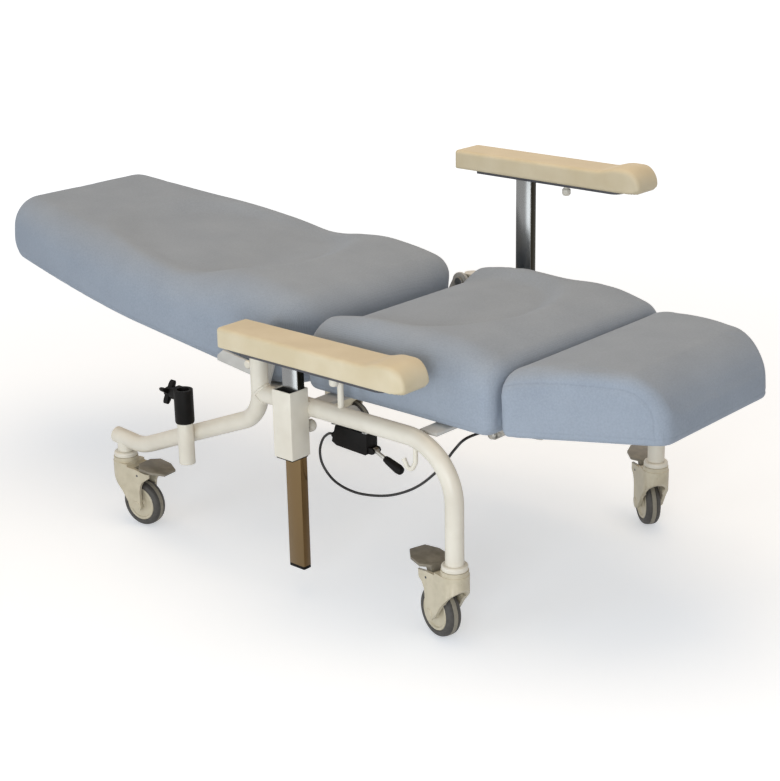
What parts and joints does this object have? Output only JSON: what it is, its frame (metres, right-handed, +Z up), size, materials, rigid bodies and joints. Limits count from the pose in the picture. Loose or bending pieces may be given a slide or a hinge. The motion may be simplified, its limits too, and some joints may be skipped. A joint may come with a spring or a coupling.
{
  "type": "patient rest chair",
  "caption": "Reclining treatment chair on braked swivel castors, with padded seat, tilting backrest and leg rest, height-adjustable arm pads and an infusion pole clamp.",
  "frame": {"origin": "on the floor, at the middle of the chair's length and width with the backrest and the leg rest as pictured", "axes": "+X towards the leg rest, +Y towards the side away from the infusion pole clamp, +Z up"},
  "size_m": [1.7712, 0.8078, 0.754],
  "materials": {
    "white_powder_coat": "off-white powder coat, satin",
    "zinc_steel": "zinc-plated steel",
    "dark_steel": "dark painted steel",
    "chromed_post": "chromed flat-oval steel",
    "black_plastic": "black moulded plastic",
    "cream_polyurethane": "cream soft integral foam skin",
    "blue_grey_upholstery": "blue-grey stretch knit cover over foam",
    "birch_board": "birch plywood",
    "castor_nylon": "off-white moulded nylon",
    "grey_tyre": "dark grey rubber tread",
    "pedal_plastic": "grey-brown moulded plastic"
  },
  "bodies": {
    "chassis": {"front_tube_left": "white_powder_coat", "front_tube_right": "white_powder_coat", "rear_tube_left": "white_powder_coat", "rear_tube_right": "white_powder_coat", "socket_liner_left": "black_plastic", "socket_liner_right": "black_plastic", "lock_body_left": "black_plastic", "lock_body_right": "black_plastic", "back_pivot_bolt_left": "zinc_steel", "back_pivot_bolt_right": "zinc_steel", "seat_frame": "zinc_steel", "hinge_rod": "zinc_steel", "seat_board": "birch_board", "seat_cushion": "blue_grey_upholstery", "gas_spring_rod": "black_plastic", "lever_box": "black_plastic", "lever_strap": "zinc_steel", "release_cable": "black_plastic", "pole_clamp": "black_plastic", "bag_hook": "white_powder_coat"},
    "backrest": {"backrest_cushion": "blue_grey_upholstery", "backrest_board": "birch_board", "backrest_frame": "zinc_steel"},
    "legrest": {"legrest_cushion": "blue_grey_upholstery", "legrest_board": "birch_board", "legrest_arm_left": "zinc_steel", "legrest_arm_right": "zinc_steel"},
    "armrest_left": {"armrest_pad_left": "cream_polyurethane", "armrest_plate_left": "dark_steel", "armrest_post_left": "chromed_post", "armrest_post_cap_left": "black_plastic", "armrest_buffer_left": "white_powder_coat"},
    "armrest_right": {"armrest_pad_right": "cream_polyurethane", "armrest_plate_right": "dark_steel", "armrest_post_right": "chromed_post", "armrest_post_cap_right": "black_plastic", "armrest_buffer_right": "white_powder_coat"},
    "lock_knob_left": {"lock_knob_left": "white_powder_coat"},
    "lock_knob_right": {"lock_knob_right": "white_powder_coat"},
    "pole_knob": {"pole_knob": "black_plastic"},
    "release_lever": {"release_lever": "zinc_steel", "lever_grip": "black_plastic"},
    "gas_cylinder": {"gas_spring_cylinder": "black_plastic"},
    "castor_front_left": {"castor_fork_front_left": "castor_nylon"},
    "castor_front_right": {"castor_fork_front_right": "castor_nylon"},
    "castor_rear_left": {"castor_fork_rear_left": "castor_nylon"},
    "castor_rear_right": {"castor_fork_rear_right": "castor_nylon"},
    "wheel_front_left": {"wheel_hub_front_left": "castor_nylon", "wheel_tyre_front_left": "grey_tyre"},
    "wheel_front_right": {"wheel_hub_front_right": "castor_nylon", "wheel_tyre_front_right": "grey_tyre"},
    "wheel_rear_left": {"wheel_hub_rear_left": "castor_nylon", "wheel_tyre_rear_left": "grey_tyre"},
    "wheel_rear_right": {"wheel_hub_rear_right": "castor_nylon", "wheel_tyre_rear_right": "grey_tyre"},
    "pedal_front_left": {"brake_pedal_front_left": "pedal_plastic"},
    "pedal_front_right": {"brake_pedal_front_right": "pedal_plastic"},
    "pedal_rear_left": {"brake_pedal_rear_left": "pedal_plastic"},
    "pedal_rear_right": {"brake_pedal_rear_right": "pedal_plastic"}
  },
  "joints": [
    {"name": "backrest_tilt", "type": "hinge", "parent": "chassis", "child": "backrest", "pos_m": [0.056, 0, 0.4655], "axis": [0, 1, 0], "range_deg": [0, 60]},
    {"name": "gas_spring_stroke", "type": "slide", "parent": "chassis", "child": "gas_cylinder", "axis": [-1, 0, 0], "range_m": [0, 0.1551]},
    {"name": "legrest_tilt", "type": "hinge", "parent": "chassis", "child": "legrest", "pos_m": [0.549, 0, 0.377], "axis": [0, 1, 0], "range_deg": [0, 75]},
    {"name": "armrest_left_height", "type": "slide", "parent": "chassis", "child": "armrest_left", "axis": [0, 0, 1], "range_m": [0, 0.2255]},
    {"name": "armrest_right_height", "type": "slide", "parent": "chassis", "child": "armrest_right", "axis": [0, 0, 1], "range_m": [-0.2255, 0]},
    {"name": "lock_knob_left_pull", "type": "slide", "parent": "chassis", "child": "lock_knob_left", "axis": [0, 1, 0], "range_m": [0, 0.008], "stiffness_N_per_m": 500, "springref_m": -0.004},
    {"name": "lock_knob_right_pull", "type": "slide", "parent": "chassis", "child": "lock_knob_right", "axis": [0, -1, 0], "range_m": [0, 0.008], "stiffness_N_per_m": 500, "springref_m": -0.004},
    {"name": "pole_knob_turn", "type": "hinge", "parent": "chassis", "child": "pole_knob", "pos_m": [-0.159, -0.3565, 0.3383], "axis": [-1, 0, 0], "range_deg": [0, 180]},
    {"name": "release_lever_pull", "type": "hinge", "parent": "chassis", "child": "release_lever", "pos_m": [0.3245, -0.2917, 0.3125], "axis": [0, -1, 0], "range_deg": [0, 15], "stiffness_Nm_per_rad": 0.3, "springref_deg": -5.73},
    {"name": "swivel_front_left", "type": "hinge", "parent": "chassis", "child": "castor_front_left", "pos_m": [0.541, -0.3245, 0], "axis": [0, 0, 1], "continuous": true},
    {"name": "swivel_front_right", "type": "hinge", "parent": "chassis", "child": "castor_front_right", "pos_m": [0.541, 0.3245, 0], "axis": [0, 0, 1], "continuous": true},
    {"name": "swivel_rear_left", "type": "hinge", "parent": "chassis", "child": "castor_rear_left", "pos_m": [-0.363, -0.3245, 0], "axis": [0, 0, 1], "continuous": true},
    {"name": "swivel_rear_right", "type": "hinge", "parent": "chassis", "child": "castor_rear_right", "pos_m": [-0.363, 0.3245, 0], "axis": [0, 0, 1], "continuous": true},
    {"name": "roll_front_left", "type": "hinge", "parent": "castor_front_left", "child": "wheel_front_left", "pos_m": [0.49753, -0.31285, 0.04938], "axis": [-0.2588, -0.9659, 0], "continuous": true},
    {"name": "roll_front_right", "type": "hinge", "parent": "castor_front_right", "child": "wheel_front_right", "pos_m": [0.50603, 0.35282, 0.04938], "axis": [-0.6293, -0.7771, 0], "continuous": true},
    {"name": "roll_rear_left", "type": "hinge", "parent": "castor_rear_left", "child": "wheel_rear_left", "pos_m": [-0.31834, -0.31902, 0.04938], "axis": [-0.1219, 0.9925, 0], "continuous": true},
    {"name": "roll_rear_right", "type": "hinge", "parent": "castor_rear_right", "child": "wheel_rear_right", "pos_m": [-0.31834, 0.32998, 0.04938], "axis": [-0.1219, 0.9925, 0], "continuous": true},
    {"name": "brake_front_left", "type": "hinge", "parent": "castor_front_left", "child": "pedal_front_left", "pos_m": [0.48981, -0.31078, 0.122], "axis": [-0.2588, -0.9659, 0], "range_deg": [0, 13]},
    {"name": "brake_front_right", "type": "hinge", "parent": "castor_front_right", "child": "pedal_front_right", "pos_m": [0.49981, 0.35785, 0.122], "axis": [-0.6293, -0.7771, 0], "range_deg": [0, 13]},
    {"name": "brake_rear_left", "type": "hinge", "parent": "castor_rear_left", "child": "pedal_rear_left", "pos_m": [-0.3104, -0.31804, 0.122], "axis": [-0.1219, 0.9925, 0], "range_deg": [-13, 0]},
    {"name": "brake_rear_right", "type": "hinge", "parent": "castor_rear_right", "child": "pedal_rear_right", "pos_m": [-0.3104, 0.33096, 0.122], "axis": [-0.1219, 0.9925, 0], "range_deg": [-13, 0]}
  ],
  "couplings": [
    {"joint": "gas_spring_stroke", "follows": "backrest_tilt", "m_per_rad": 0.148}
  ]
}
